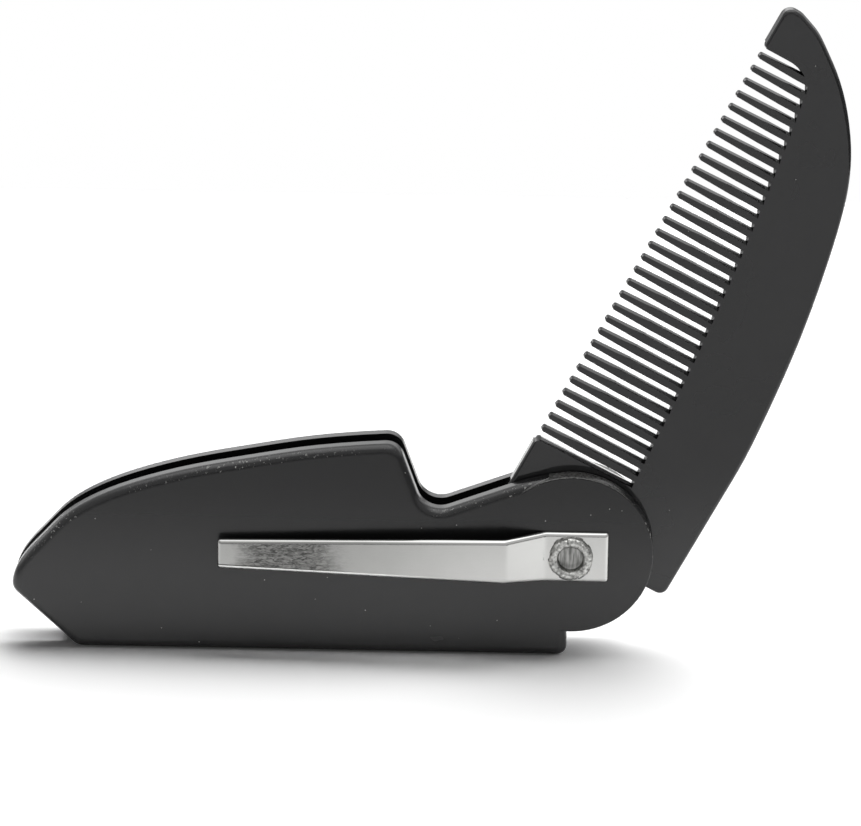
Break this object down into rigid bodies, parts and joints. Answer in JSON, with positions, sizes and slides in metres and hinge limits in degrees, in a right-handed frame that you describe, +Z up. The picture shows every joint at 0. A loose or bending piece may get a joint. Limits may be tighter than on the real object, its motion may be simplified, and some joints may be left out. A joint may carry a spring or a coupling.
{
  "type": "folding pocket comb",
  "caption": "Folding barber comb whose blade swings on a rivet out of a slotted handle with a spring pocket clip.",
  "frame": {"origin": "middle of the narrow flat along the bottom of the handle, on which the comb stands", "axes": "+X runs along the handle towards the rivet, +Y from the clip side to the back, +Z up"},
  "size_m": [0.1353, 0.0153, 0.1081],
  "materials": {
    "handle": "satin moulded",
    "comb": "semi-gloss moulded",
    "pocket_clip": "satin nickel plated",
    "rivet": "dull nickel plated, rolled end"
  },
  "bodies": {
    "sheath": {"handle": "handle", "pocket_clip": "pocket_clip", "rivet": "rivet"},
    "comb": {"comb": "comb"}
  },
  "joints": [
    {"name": "comb_pivot", "type": "hinge", "parent": "sheath", "child": "comb", "pos_m": [0.04082, 0, 0.0175], "axis": [0, -1, 0], "range_deg": [-62, 118]}
  ]
}
